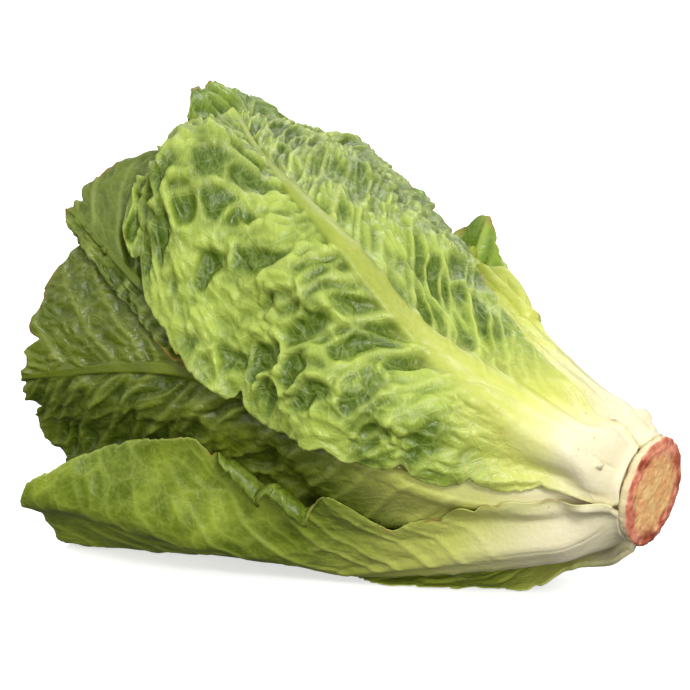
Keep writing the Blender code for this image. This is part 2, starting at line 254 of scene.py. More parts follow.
def spread(lack):
    """How far each grid point has to move for every point inside its cells to gain what it lacks."""
    share = weights(lack.shape[2])
    total = sum(w * w for w in share)
    push = np.zeros((lack.shape[0] + 1, lack.shape[1] + 1))
    for weight, (i, j) in zip(share, ((0, 0), (1, 0), (0, 1), (1, 1))):
        part = push[i:i + lack.shape[0], j:j + lack.shape[1]]
        np.maximum(part, (lack * weight / total).max(axis=(2, 3)), out=part)
    return push


# --- noise -----------------------------------------------------------------------------------------------

TABLE = np.random.default_rng(7).random((4096, 3))


def lattice(i, j, seed):
    """Three random numbers for each lattice point."""
    return TABLE[(i * 73 + j * 179 + seed * 1013) % 4096]


def noise(x, y, seed=0):
    """Smooth noise from -1 to 1 with a unit lattice."""
    i, j = np.floor(x).astype(int), np.floor(y).astype(int)
    u, v = ease(x - i), ease(y - j)
    corner = [lattice(i + a, j + b, seed)[..., 0] for a in (0, 1) for b in (0, 1)]
    low = corner[0] * (1 - v) + corner[1] * v
    high = corner[2] * (1 - v) + corner[3] * v
    return 2 * (low * (1 - u) + high * u) - 1


def layered(x, y, seed=0):
    """Noise of three sizes."""
    large = 0.6 * noise(x, y, seed)
    return large + 0.3 * noise(2.1 * x, 2.1 * y, seed + 1) + 0.15 * noise(4.3 * x, 4.3 * y, seed + 2)


def cellular(x, y, seed=0):
    """The distance to the border between cells, 0 on it and about 1 in the middle, and each cell's number."""
    i0, j0 = np.floor(x).astype(int), np.floor(y).astype(int)
    first = np.full(x.shape, 9.0)
    second = np.full(x.shape, 9.0)
    mark = np.zeros(x.shape)
    for a in (-1, 0, 1):
        for b in (-1, 0, 1):
            jitter = lattice(i0 + a, j0 + b, seed)
            at_x = i0 + a + 0.15 + 0.7 * jitter[..., 0]
            at_y = j0 + b + 0.15 + 0.7 * jitter[..., 1]
            d = np.hypot(at_x - x, at_y - y)
            nearer = d < first
            second = np.where(nearer, first, np.minimum(second, d))
            mark = np.where(nearer, jitter[..., 2], mark)
            first = np.where(nearer, d, first)
    return np.clip((second - first) / 0.55, 0, 1), mark


# --- laying the leaves -----------------------------------------------------------------------------------

class Layers:
    """How far out from the axis the head is filled, by station and angle."""

    def __init__(self):
        stations = MAP_START + MAP_STEP * np.arange(MAP_ROWS)
        self.filled = np.repeat(core_radius(stations)[:, None], MAP_TURN, axis=1)

    def cells(self, station, angle):
        row = np.round((station - MAP_START) / MAP_STEP).astype(int)
        turn = np.round(angle / (2 * math.pi) * MAP_TURN).astype(int)
        return np.clip(row, 0, MAP_ROWS - 1), turn % MAP_TURN

    def around(self):
        rows = np.pad(self.filled, ((1, 1), (0, 0)), mode="edge")
        high = np.maximum(np.maximum(rows[:-2], rows[1:-1]), rows[2:])
        return np.maximum(np.maximum(np.roll(high, 1, 1), high), np.roll(high, -1, 1))

    def add(self, points, fine):
        station, angle, radius = unplace(between(points, fine))
        np.maximum.at(self.filled, self.cells(station, angle), radius)


def size_of(leaf):
    return 1 - 0.1 * leaf.layer


def stations_of(leaf, rows):
    first = leaf.start + np.array([0, CLASP, 3 * CLASP])
    return np.concatenate([first, np.linspace(first[-1], leaf.end, rows - 2)[1:]])


def half_width(leaf, share, side):
    return np.where(side > 0, curve(share, WIDTH_AT, leaf.plus), curve(share, WIDTH_AT, leaf.minus))


def rib_broad(leaf, share):
    """The half width of the rib."""
    return curve(share, (0, 0.1, 0.22, 0.36, 0.52, 0.72, 1), (13, 14, 10.5, 7, 4.6, 3.1, 1.2)) * size_of(leaf)


def rib_thick(leaf, share):
    full, base = RIB_THICK * size_of(leaf), BASE_THICK * size_of(leaf)
    return np.interp(share, (0, 0.1, 0.3, 1), (base, full, 0.92 * full, RIB_END_THICK))


def tucked(leaf, angle, station):
    """How many layers under its own a leaf lies at this angle: it goes under its neighbour, or leans in."""
    if leaf.tuck is None:
        return 0 * angle
    first, last, deep = leaf.tuck
    later = raised = 0
    if leaf.name == "leaf_10_front":
        later = 30 * (1 - ease((station - 85) / 45))
        raised = 1.4 * (1 - ease((station - 90) / 50))
    return deep * ease((angle - np.radians(first + later)) / math.radians(last - first)) - raised


# Where the low front leaf is folded: angles in degrees at these stations
FOLD_AT = (60, 90, 120, 154, 187, 217)
FOLD_ANGLE = (150, 143, 134, 125, 117, 112)


def folded(leaf, station, angle, radius):
    """The low front leaf has a fold along it, and leans in above the fold."""
    if leaf.name != "leaf_04_front_low":
        return radius
    fold = np.radians(curve(station, FOLD_AT, FOLD_ANGLE))
    grow = ease((station - 90) / 70)
    above = ease((fold - angle) / math.radians(24))
    crest = np.exp(-(((fold - angle) / math.radians(9)) ** 2))
    below = ease((angle - fold) / math.radians(12))
    return radius + grow * (4.5 * crest - 11 * above - 9 * below)


# Local bulges outwards: station, spread, side (0 for the whole width) and height
BULGES = {
    "leaf_01_top_front": ((178, 24, -1, 9),),
    "leaf_03_back": ((82, 26, 1, 8), (114, 15, 1, 14)),
    "leaf_09_top": ((228, 16, 0, 9),),
}


def bulged(leaf, station, side):
    total = 0 * station
    for at, wide, sign, high in BULGES.get(leaf.name, ()):
        share = np.clip(sign * side, 0, 1) ** 3 if sign else 1
        total = total + high * np.exp(-(((station - at) / wide) ** 2)) * share
    return total


def waves(leaf, middle, share, side):
    """Waves of the blade that grow towards the margins."""
    seed = leaf.start * 7 + leaf.end
    sign = np.sign(side)
    wave = np.sin(2 * math.pi * middle / WAVE_LENGTH + leaf.start + leaf.end + 2 * sign) * 2.2
    ruffle = noise(middle / 17 + 3 * sign, 0 * side + seed, 3) * 2.6 * side ** 2
    return size_of(leaf) * (wave + ruffle) * ease(share / 0.4) * side ** 2


def leaf_shape(leaf, grid):
    """Stations, angles, thickness and radii of the smooth leaf, before it is laid on the others."""
    rows, columns = grid
    middle = stations_of(leaf, rows)[:, None]
    share = (middle - middle[0]) / (middle[-1] - middle[0])
    side = np.linspace(1, -1, columns)[None, :]
    side = np.sign(side) * np.abs(side) ** SIDE_POWER
    half = half_width(leaf, share, side)
    station = middle - leaf.cap * share ** 5 * np.abs(side) ** 3
    level = np.clip(head_radius(station) - leaf.layer * layer_step(station), 3, None)
    base = core_radius(middle[0, 0]) + SEAT_GAP + BASE_THICK * size_of(leaf)
    reach = ease((middle - middle[0] - CLASP) / SWELL)
    spine = base + (level - base) * reach
    across = side * half
    angle = np.radians(curve(share, RIB_AT, leaf.rib)) + across / spine
    gauss = np.exp(-((across / (1.15 * rib_broad(leaf, share))) ** 2))
    rib_part = (rib_thick(leaf, share) - BLADE_THICK) * gauss * (1 - RIB_PROUD * reach)
    thick = BLADE_THICK + RELIEF_ROOM + rib_part
    flare = np.where(side > 0, *leaf.flare) * np.abs(side) ** 3 * ease((share - leaf.spring) / 0.24)
    radius = spine + flare + waves(leaf, middle, share, side) - waist(station, angle)
    radius = radius + bulged(leaf, station, side)
    radius = radius - tucked(leaf, angle, station) * layer_step(station) * ease((middle - 20) / 50)
    return station + 0 * angle, angle, thick, folded(leaf, station, angle, radius)


def settle(leaf, grid, layers):
    """The leaf's outer face on a coarse grid, clear of the leaves under it."""
    station, angle, thick, radius = leaf_shape(leaf, grid)
    down = np.maximum(-np.cos(angle) * math.cos(AXIS_RISE), 1e-3)
    ground = (STEM_HEIGHT + station * math.sin(AXIS_RISE)) / down
    lift = (leaf.layer + tucked(leaf, angle, station)) * layer_step(station)
    free = between(station, SAMPLES) > leaf.start + 2 * CLASP
    gap = np.where(free, LEAF_GAP, 0.5 * SEAT_GAP)
    around = layers.around()
    radius = np.minimum(radius, np.maximum(ground - lift, core_radius(station) + thick))
    for _ in range(SETTLE_PASSES):
        outer = place(station, angle, radius)
        inner = outer - grid_normals(outer) * thick[..., None]
        s, a, r = unplace(between(inner, SAMPLES))
        row, turn = layers.cells(s, a)
        need = np.where(free, around[row, turn], layers.filled[row, turn])
        push = spread(np.clip(need + gap - r, 0, None))
        radius = radius + np.maximum(push, blurred(push, 1))
    return place(station, angle, radius)


# --- the fine leaf ---------------------------------------------------------------------------------------

def sample(grid, i, j):
    """A smooth surface through a grid of points, at rows i and columns j."""
    grid = np.concatenate([2 * grid[:1] - grid[1:2], grid, 2 * grid[-1:] - grid[-2:-1]])
    grid = np.concatenate([2 * grid[:, :1] - grid[:, 1:2], grid, 2 * grid[:, -1:] - grid[:, -2:-1]], 1)
    i0 = np.clip(np.floor(i).astype(int), 0, grid.shape[0] - 4)
    j0 = np.clip(np.floor(j).astype(int), 0, grid.shape[1] - 4)

    def four(t):
        return ((-t + 2 * t * t - t ** 3) / 2, (2 - 5 * t * t + 3 * t ** 3) / 2,
                (t + 4 * t * t - 3 * t ** 3) / 2, (t ** 3 - t * t) / 2)

    wi, wj = four(i - i0), four(j - j0)
    return sum(wi[a][..., None] * wj[b][..., None] * grid[i0 + a, j0 + b]
               for a in range(4) for b in range(4))


def carved(leaf, look, share, lin):
    """How far the margin is cut back, in mm, at this share of the leaf's length."""
    station = leaf.start + share * (leaf.end - leaf.start)
    depth = 0 * share * lin
    for sign, listed in ((1, look.plus), (-1, look.minus)):
        seed = leaf.start * 3 + sign + leaf.end
        lobe = look.lobe * (1 - np.abs(np.sin(math.pi * (station / 27 + seed))) ** 0.55)
        lobe = lobe * (0.6 + 0.6 * noise(station / 40, 0 * station + seed, 5))
        nick = look.nick * np.clip(noise(station / 3.6, 0 * station + seed, 6) - 0.25, 0, 1) * 1.4
        nick = nick + 0.6 * look.nick * np.clip(noise(station / 1.5, 0 * station + seed, 7) - 0.2, 0, 1)
        cut = lobe + nick
        for at, deep, wide in listed:
            cut = cut + deep * np.exp(-np.abs((station - at) / wide) ** 1.3)
        depth = np.where(np.sign(lin) == sign, cut, depth)
    return depth * ease((station - leaf.start - 8) / 20)


def tip_cut(leaf, look, lin):
    """How far the tip is cut back, in mm, across it."""
    seed = leaf.end * 3
    x = lin * 60
    cut = look.lobe * (1 - np.abs(np.sin(math.pi * (x / 30 + seed))) ** 0.55)
    cut = cut + look.nick * np.clip(noise(x / 3.6, 0 * x + seed, 8) - 0.2, 0, 1) * 1.5
    for at, deep, wide in look.tip:
        cut = cut + deep * np.exp(-np.abs((lin - at) / wide) ** 1.3)
    return cut


def vein_lines(x, y, seed):
    """The distance to the nearest lateral vein in mm, and the coordinate that runs along the veins."""
    sign = np.sign(x)
    far = np.abs(x)
    run = y - 0.95 * far + 0.0035 * far * far + 1.6 * noise(x / 13, y / 13, seed)
    phase = np.where(sign > 0, 0.0, 0.47) * VEIN_SPACING + seed
    k = np.floor((run + phase) / VEIN_SPACING)
    best = np.full(x.shape, 99.0)
    for step in (-1, 0, 1):
        jitter = lattice((k + step).astype(int), (sign + 3).astype(int), seed)[..., 0]
        at = (k + step + 0.25 + 0.5 * jitter) * VEIN_SPACING - phase
        best = np.minimum(best, np.abs(run - at))
    return best * 0.72, run


def relief(leaf, look, x, y, share, half):
    """The height of the outer face over the smooth leaf, and the fields that the material reads."""
    seed = int(leaf.start * 10 + leaf.end) % 97
    broad = rib_broad(leaf, share)
    rib = 1 - ease((np.abs(x) / broad - 0.45) / 0.75)
    reach = ease((y - leaf.start - CLASP) / SWELL)
    out = (rib_thick(leaf, share) - BLADE_THICK) * RIB_PROUD * reach * rib
    stria = noise(x / 1.7 + 2 * noise(y / 60, x / 9, seed), y / 70, seed + 4) * 0.16 * ease(rib * 1.6) * reach
    far = np.abs(x)
    near, run = vein_lines(x, y, seed)
    fade = np.exp(-far / 55) * ease((far - 1) / 4)
    wide = 0.55 + 1.0 * np.exp(-far / 22)
    vein = np.exp(-((near / wide) ** 2)) * fade * ease((y - leaf.start - 20) / 45)
    smooth_base = 60 if leaf.name == "leaf_10_front" else 22
    free = (1 - ease(rib * 1.5)) * ease((y - leaf.start - smooth_base) / 50)
    warp_x = x + 2.2 * noise(x / 9, y / 9, seed + 11)
    warp_run = run + 2.2 * noise(x / 9, y / 9, seed + 12)
    deep, mark = cellular(warp_run / 9.5, warp_x / 18, seed)
    small, mark_small = cellular(warp_run / 4.4, warp_x / 5.2, seed + 20)
    tiny, _ = cellular(x / 2.6, y / 2.6, seed + 30)
    broad_part = ease(0.5 + 0.9 * noise(x / 38 + 5, y / 38, seed + 9) + 0.5 * np.sign(x) * (share - 0.45))
    pillow = ease(deep) * np.where(mark > 0.28, -1.0, 0.7) * (0.5 + 0.7 * mark)
    puff = ease(small) * np.where(mark_small > 0.45, 1.0, -0.8) * (0.35 + 0.8 * mark_small)
    margin = 1 - 0.6 * ease((far / half - 0.8) / 0.2)
    height = look.dent * broad_part * pillow * (1 - 0.5 * vein)
    height = height + look.blister * (1 - 0.75 * broad_part) * puff
    height = height + 0.42 * look.blister * broad_part * puff
    height = height * free * margin * size_of(leaf) * (1 - 0.3 * ease(-x / 12))
    net = np.maximum((1 - ease(deep * 4)) * 0.55, (1 - ease(small * 3)) * 0.4) * free
    net = np.maximum(net, (1 - ease(tiny * 3)) * 0.2 * free)
    height = height + 0.2 * net * free * min(look.dent, 2)
    height = height + (0.5 + 0.3 * min(look.dent, 2.5)) * vein * size_of(leaf)
    edge = np.clip(1 - (half - far) / 2.2, 0, 1)
    # The tone holds painted shade in the dents and painted light on the ridges, both taken from the height,
    # and painted shade on the minus side; the noise and the cell marks are the leaf's own uneven green.
    tone_and_painted_shade = 0.52 - 0.1 * ease(-x / 25) + 0.42 * height / 2.2
    tone_and_painted_shade = tone_and_painted_shade + 0.22 * layered(x / 24, y / 24, seed + 14) + 0.10 * (mark - 0.5)
    line = np.clip(np.maximum(vein, 0.75 * net), 0, 1)
    return out + stria + height, {"rib": rib, "vein": line, "edge": edge, "tone_and_painted_shade": np.clip(tone_and_painted_shade, 0, 1)}


# How far up from the stem the white reaches, in mm, and how fast it ends towards the minus side
PALE_LENGTH = {"leaf_10_front": 110, "leaf_04_front_low": 125, "leaf_02_top_back": 112}
PALE_MINUS = {"leaf_02_top_back": 8}


def pale_field(leaf, x, y, share):
    """1 at the white base, 0 in the green blade."""
    far = np.abs(x) + PALE_MINUS.get(leaf.name, 0) * np.clip(-x - 4, 0, None)
    ragged = 9 * layered(x / 16, y / 16, int(leaf.end))
    base = 1 - (y + 0.7 * far + ragged - 16) / PALE_LENGTH.get(leaf.name, 70)
    along_rib = (1.05 - 1.5 * share) * np.exp(-((x / (rib_broad(leaf, share) * 1.4)) ** 2))
    return np.clip(np.maximum(base, 0.72 * along_rib), 0, 1)


def inner_face(points, thick):
    """The leaf's inner face. Under the thick rib it keeps to the smooth shape."""
    sharp = grid_normals(points)
    share = np.clip((thick - 0.8) / 1.2, 0, 1)[..., None]
    smooth = np.stack([blurred(sharp[..., i], 8) for i in range(3)], -1)
    normal = sharp * (1 - share) + smooth * share
    return points - normal / np.linalg.norm(normal, axis=-1, keepdims=True) * thick[..., None]


def widened(grid, times):
    """Each value spread over its neighbours, once for each time."""
    for _ in range(times):
        wide = np.pad(grid, 1, mode="edge")
        for i in range(3):
            for j in range(3):
                grid = np.maximum(grid, wide[i:i + grid.shape[0], j:j + grid.shape[1]])
    return grid


def clear(points, thick, layers):
    """Lifts the fine leaf where it would cut into what lies under it."""
    for reach in (6, 3, 2):
        s, a, r = unplace(inner_face(points, thick))
        lack = np.clip(layers.filled[layers.cells(s, a)] + 0.45 - r, 0, 7)
        lack[:2] = 0
        lack = blurred(widened(lack, reach), reach)
        station, angle, radius = unplace(points)
        points = place(station, angle, radius + lack)
    return points


def blurred(grid, times):
    for _ in range(times):
        wide = np.pad(grid, 1, mode="edge")
        rows, columns = grid.shape
        grid = sum(wide[i:i + rows, j:j + columns] for i in range(3) for j in range(3)) / 9
    return grid


def press(points, thick, lin, middle, layers):
    """Near the stem the margins hug what lies under them."""
    s, a, r = unplace(points - grid_normals(points) * thick[..., None])
    curl = 1.3 * ease((np.abs(lin) - 0.86) / 0.14)
    gap = np.clip(r - layers.filled[layers.cells(s, a)] - 1.3 - curl, 0, 7)
    weight = ease((np.abs(lin) - 0.25) / 0.5) * (1 - ease((middle - 75) / 45)) * ease((middle - 12) / 12)
    station, angle, radius = unplace(points)
    return place(station, angle, radius - blurred(blurred(gap, 6) * weight, 4))


def roll_margin(points, fields, rest, middle, first, last, reach, radius):
    """Curls the margin on the falling side outwards between two stations."""
    normal = grid_normals(points)
    middle_column = points.shape[1] // 2
    columns = np.arange(middle_column, points.shape[1])
    for row in range(points.shape[0]):
        station = middle[row, 0]
        part = ease((station - first) / 14) * (1 - ease((station - last + 6) / 6))
        if part < 0.05:
            continue
        d = rest[row, columns]
        span = reach * part * (1 + 0.2 * math.sin(station / 4.0))
        at = np.interp(-span, -d, columns)
        low = int(at)
        start = points[row, low] + (at - low) * (points[row, low + 1] - points[row, low])
        ahead = points[row, low + 1] - points[row, low]
        ahead = ahead / np.linalg.norm(ahead)
        turned = columns[columns > low]
        angle = (span - rest[row, turned]) / (radius * (1 + 0.15 * math.sin(station / 3.1)))
        size = radius * part ** 0.5
        points[row, turned] = (start + size * np.sin(angle)[:, None] * ahead
                               + size * (1 - np.cos(angle))[:, None] * normal[row, low])
        fields["tone_and_painted_shade"][row, turned] *= 0.35
    return points


def fine_leaf(leaf, look, coarse, grid, layers):
    """Outer and inner faces of the leaf on a fine grid, and the fields for its material."""
    rows, columns = grid
    share = np.linspace(0, 1, rows)[:, None]
    lin = np.linspace(1, -1, columns)[None, :] + 0 * share
    length = leaf.end - leaf.start
    along = share * (1 - tip_cut(leaf, look, lin) / length * share ** 7)
    side = np.sign(lin) * np.abs(lin) ** SIDE_POWER
    half = half_width(leaf, along, side)
    cut = carved(leaf, look, along, lin) / half
    lin = lin * (1 - 0.8 * cut * np.abs(lin) ** 2.5)
    side = np.sign(lin) * np.abs(lin) ** SIDE_POWER
    middle = leaf.start + along * length
    row = np.interp(middle, stations_of(leaf, coarse.shape[0]), np.arange(coarse.shape[0]))
    column = (1 - lin) / 2 * (coarse.shape[1] - 1)
    points = sample(coarse, row, column)
    x = side * half
    height, fields = relief(leaf, look, x, middle, along, half * (1 - cut))
    tip = np.clip(1 - (1 - share) * length / 2.2, 0, 1) + 0 * lin
    fields["edge"] = np.maximum(fields["edge"], tip)
    fields["pale"] = pale_field(leaf, x, middle, along)
    points = points + grid_normals(points) * height[..., None]
    reach = ease((middle - leaf.start - CLASP) / SWELL)
    base = rib_thick(leaf, along) - BLADE_THICK
    gauss = np.exp(-((x / (rib_broad(leaf, along) * 1.1)) ** 2))
    thick = (BLADE_THICK * (1 - 0.45 * fields["edge"]) + base * gauss * (1 - RIB_PROUD * reach)
             + base * RIB_PROUD * reach * fields["rib"])
    if "heart" not in leaf.name and leaf.name != "leaf_05_under":
        points = press(points, thick, lin, middle, layers)
    points = clear(points, thick, layers)
    if leaf.name == "leaf_04_front_low":
        rest = half * (1 - cut) - np.abs(x)
        points = roll_margin(points, fields, rest, middle + 0 * x, first=98, last=150, reach=13, radius=3.6)
    points[..., 2] = np.maximum(points[..., 2], FLOOR_Z + FLOOR_GAP)
    inner = inner_face(points, thick)
    inner[..., 2] = np.maximum(inner[..., 2], FLOOR_Z + FLOOR_GAP + 0.8 * np.minimum(thick, 0.4))
    return points, inner, fields


def shell_mesh(name, outer, inner, fields):
    """A closed shell from the two faces of a leaf."""
    rows, columns = outer.shape[:2]
    count = rows * columns
    index = np.arange(count).reshape(rows, columns)
    a, b, c, d = index[:-1, :-1], index[1:, :-1], index[1:, 1:], index[:-1, 1:]
    top = np.stack([a, b, c, d], -1).reshape(-1, 4)
    under = np.stack([a, d, c, b], -1).reshape(-1, 4) + count
    ring = np.concatenate([index[:, 0], index[-1, 1:], index[-2::-1, -1], index[0, -2:0:-1]])
    after = np.roll(ring, -1)
    rim = np.stack([after, ring, ring + count, after + count], -1)
    quads = np.concatenate([top, under, rim])
    points = np.concatenate([outer.reshape(-1, 3), inner.reshape(-1, 3)])
    mesh = bpy.data.meshes.new(name)
    mesh.vertices.add(len(points))
    mesh.vertices.foreach_set("co", ((points - ORIGIN) * 0.001).astype(np.float32).reshape(-1))
    mesh.loops.add(quads.size)
    mesh.loops.foreach_set("vertex_index", quads.astype(np.int32).reshape(-1))
    mesh.polygons.add(len(quads))
    mesh.polygons.foreach_set("loop_start", np.arange(0, quads.size, 4, dtype=np.int32))
    mesh.polygons.foreach_set("loop_total", np.full(len(quads), 4, dtype=np.int32))
    mesh.update(calc_edges=True)
    finish_mesh(mesh, {key: np.tile(value.reshape(-1), 2) for key, value in fields.items()})
    mesh.validate()
    return mesh


def finish_mesh(mesh, fields):
    """Smooth shading, and the fields as attributes of the points."""
    mesh.polygons.foreach_set("use_smooth", np.ones(len(mesh.polygons), dtype=bool))
    for key, value in fields.items():
        layer = mesh.attributes.new(key, "FLOAT", "POINT")
        layer.data.foreach_set("value", value.astype(np.float32))


# --- materials -------------------------------------------------------------------------------------------

def linear(colour):
    """An sRGB colour, 0 to 255, as linear values with alpha."""
    def one(c):
        c = c / 255
        return c / 12.92 if c <= 0.04045 else ((c + 0.055) / 1.055) ** 2.4

    return (*(one(c) for c in colour), 1.0)


class Paint:
    """A small helper that builds a node material."""

    def __init__(self, name):
        self.material = bpy.data.materials.new(name)
        self.material.use_nodes = True
        self.tree = self.material.node_tree
        self.shader = self.tree.nodes["Principled BSDF"]
        self.where = self.tree.nodes.new("ShaderNodeTexCoord").outputs["Object"]

    def link(self, value, socket):
        if isinstance(value, bpy.types.NodeSocket):
            self.tree.links.new(value, socket)
        else:
            socket.default_value = value

    def field(self, name):
        node = self.tree.nodes.new("ShaderNodeAttribute")
        node.attribute_name = name
        return node.outputs["Fac"]

    def math(self, operation, a, b):
        node = self.tree.nodes.new("ShaderNodeMath")
        node.operation = operation
        self.link(a, node.inputs[0])
        self.link(b, node.inputs[1])
        return node.outputs[0]

    def times(self, a, b):
        return self.math("MULTIPLY", a, b)

    def plus(self, a, b):
        return self.math("ADD", a, b)

    def noise(self, scale, detail, stretch=None):
        node = self.tree.nodes.new("ShaderNodeTexNoise")
        where = self.where
        if stretch:
            mapping = self.tree.nodes.new("ShaderNodeMapping")
            mapping.inputs["Scale"].default_value = stretch
            self.link(where, mapping.inputs["Vector"])
            where = mapping.outputs["Vector"]
        self.link(where, node.inputs["Vector"])
        node.inputs["Scale"].default_value = scale
        node.inputs["Detail"].default_value = detail
        return node.outputs["Fac"]

    def cells(self, scale, feature):
        node = self.tree.nodes.new("ShaderNodeTexVoronoi")
        node.feature = feature
        self.link(self.where, node.inputs["Vector"])
        node.inputs["Scale"].default_value = scale
        return node.outputs["Distance"]

    def specks(self, scale):
        return self.cells(scale, "F1")

    def net(self, scale):
        return self.cells(scale, "DISTANCE_TO_EDGE")

    def ramp(self, value, low, high, a=0.0, b=1.0):
        node = self.tree.nodes.new("ShaderNodeMapRange")
        node.interpolation_type = "SMOOTHSTEP"
        self.link(value, node.inputs["Value"])
        for key, number in (("From Min", low), ("From Max", high), ("To Min", a), ("To Max", b)):
            node.inputs[key].default_value = number
        return node.outputs["Result"]

    def mix(self, share, a, b):
        node = self.tree.nodes.new("ShaderNodeMix")
        node.data_type = "RGBA"
        self.link(share, node.inputs[0])
        self.link(a, node.inputs[6])
        self.link(b, node.inputs[7])
        return node.outputs[2]

    def bump(self, height, strength, distance):
        node = self.tree.nodes.new("ShaderNodeBump")
        node.inputs["Strength"].default_value = strength
        node.inputs["Distance"].default_value = distance
        self.link(height, node.inputs["Height"])
        self.link(node.outputs["Normal"], self.shader.inputs["Normal"])


CREAM = linear((240, 230, 194))
BUTTER = linear((216, 220, 112))
RIB_GREEN = linear((156, 170, 56))
BROWN = linear((150, 100, 46))
RUST = linear((214, 136, 78))
PALE_VEIN = linear((214, 226, 132))
STREAK = linear((214, 206, 130))
CUT_RIM = linear((246, 160, 128))
CUT_RIM_DARK = linear((196, 96, 66))
CUT_RUST = linear((140, 58, 36))
CUT_HEART = linear((255, 214, 144))
CUT_HEART_DARK = linear((250, 188, 124))
STEM_SIDE = linear((240, 226, 184))
CORE_WHITE = linear((236, 222, 180))
FINE_NET, WIDE_NET = 240, 88


def leaf_material(name, look):
    paint = Paint(name)
    light, dark = linear(look.light), linear(look.dark)
    tone_and_painted_shade, vein, rib = paint.field("tone_and_painted_shade"), paint.field("vein"), paint.field("rib")
    edge, pale = paint.field("edge"), paint.field("pale")
    mottle = paint.times(paint.math("SUBTRACT", paint.noise(90, 5), 0.5), 0.7)
    # The tone ramp mixes the dark and light greens: it carries painted shade in the dents and on the minus
    # side, painted light on the ridges, and the leaf's own mottle.
    green = paint.mix(paint.ramp(paint.plus(tone_and_painted_shade, mottle), 0.15, 0.9), dark, light)
    vein_colour = paint.mix(0.2 + 0.4 * look.rib, light, PALE_VEIN)
    green = paint.mix(paint.times(vein, 0.6), green, vein_colour)
    veinlets = paint.times(paint.ramp(paint.net(FINE_NET), 0.02, 0.12, 1.0, 0.0), 0.55)
    net = paint.math("MAXIMUM", paint.ramp(paint.net(WIDE_NET), 0.005, 0.04, 1.0, 0.0), veinlets)
    net = paint.times(net, paint.ramp(rib, 0.05, 0.5, 1.0, 0.0))
    green = paint.mix(paint.times(net, 0.07 + 0.05 * look.blister), green, vein_colour)
    streak = paint.noise(60, 4, (1, 9, 9))
    green = paint.mix(paint.times(paint.ramp(rib, 0.2, 0.9), look.rib), green, RIB_GREEN)
    streaked = paint.plus(pale, paint.times(streak, 0.2))
    butter = paint.mix(paint.ramp(streaked, 0.15, 0.75), green, BUTTER)
    colour = paint.mix(paint.ramp(pale, 0.5, 0.95), butter, CREAM)
    streaks = paint.times(paint.ramp(streak, 0.35, 0.75), paint.times(pale, 0.16))
    colour = paint.mix(streaks, colour, STREAK)
    colour = paint.mix(paint.times(edge, 0.25), colour, vein_colour)
    scorch = paint.times(paint.ramp(edge, 0.35, 1.0), paint.ramp(paint.noise(75, 3), 0.50, 0.68))
    colour = paint.mix(paint.times(scorch, 0.75), colour, BROWN)
    freckle = paint.ramp(paint.specks(330), 0.10, 0.22, 1.0, 0.0)
    freckle = paint.times(freckle, paint.ramp(paint.noise(48, 2), 0.54, 0.66))
    colour = paint.mix(paint.times(freckle, paint.ramp(pale, 0.1, 0.6, 0.15, 0.55)), colour, RUST)
    paint.link(colour, paint.shader.inputs["Base Color"])
    rough = paint.ramp(paint.noise(140, 3), 0.3, 0.7, 0.30, 0.44)
    rough = paint.plus(rough, paint.times(rib, 0.05))
    paint.link(rough, paint.shader.inputs["Roughness"])
    paint.shader.inputs["Specular IOR Level"].default_value = 0.42
    paint.shader.inputs["Subsurface Weight"].default_value = 0.12
    paint.shader.inputs["Subsurface Radius"].default_value = (0.8, 1.0, 0.25)
    paint.shader.inputs["Subsurface Scale"].default_value = 0.002
    fine = paint.times(paint.noise(420, 4), 0.6)
    fine = paint.plus(fine, paint.times(paint.specks(520), 0.5))
    fine = paint.plus(fine, paint.times(net, 0.15 + 0.2 * look.blister))
    paint.bump(fine, 0.5, 0.0005)
    return paint.material


def stem_material():
    paint = Paint("stem_tissue")
    cut, heart, side = paint.field("cut"), paint.field("heart"), paint.field("side")
    cells = paint.noise(210, 6)
    rim = paint.mix(paint.ramp(cells, 0.36, 0.62), CUT_RIM_DARK, CUT_RIM)
    rust = paint.times(paint.ramp(paint.noise(120, 4), 0.52, 0.62), 0.65)
    rim = paint.mix(rust, rim, CUT_RUST)
    middle = paint.mix(paint.ramp(cells, 0.4, 0.65), CUT_HEART_DARK, CUT_HEART)
    colour = paint.mix(heart, rim, middle)
    colour = paint.mix(side, colour, STEM_SIDE)
    colour = paint.mix(cut, CORE_WHITE, colour)
    paint.link(colour, paint.shader.inputs["Base Color"])
    paint.link(paint.ramp(paint.noise(160, 3), 0.3, 0.7, 0.42, 0.66), paint.shader.inputs["Roughness"])
    paint.shader.inputs["Subsurface Weight"].default_value = 0.1
    paint.shader.inputs["Subsurface Scale"].default_value = 0.002
    fine = paint.plus(paint.noise(330, 5), paint.times(paint.specks(260), 0.6))
    paint.bump(fine, 0.5, 0.0008)
    return paint.material


# --- the stem --------------------------------------------------------------------------------------------

STEM_COLUMNS = 240
FACE_ROWS = 56
CORE_ROWS = 30
CORE_END = 75.0
RING_AT, RING_HEIGHT = 0.86, 0.5  # the swollen ring, as a share of the cut's radius, and its height in mm


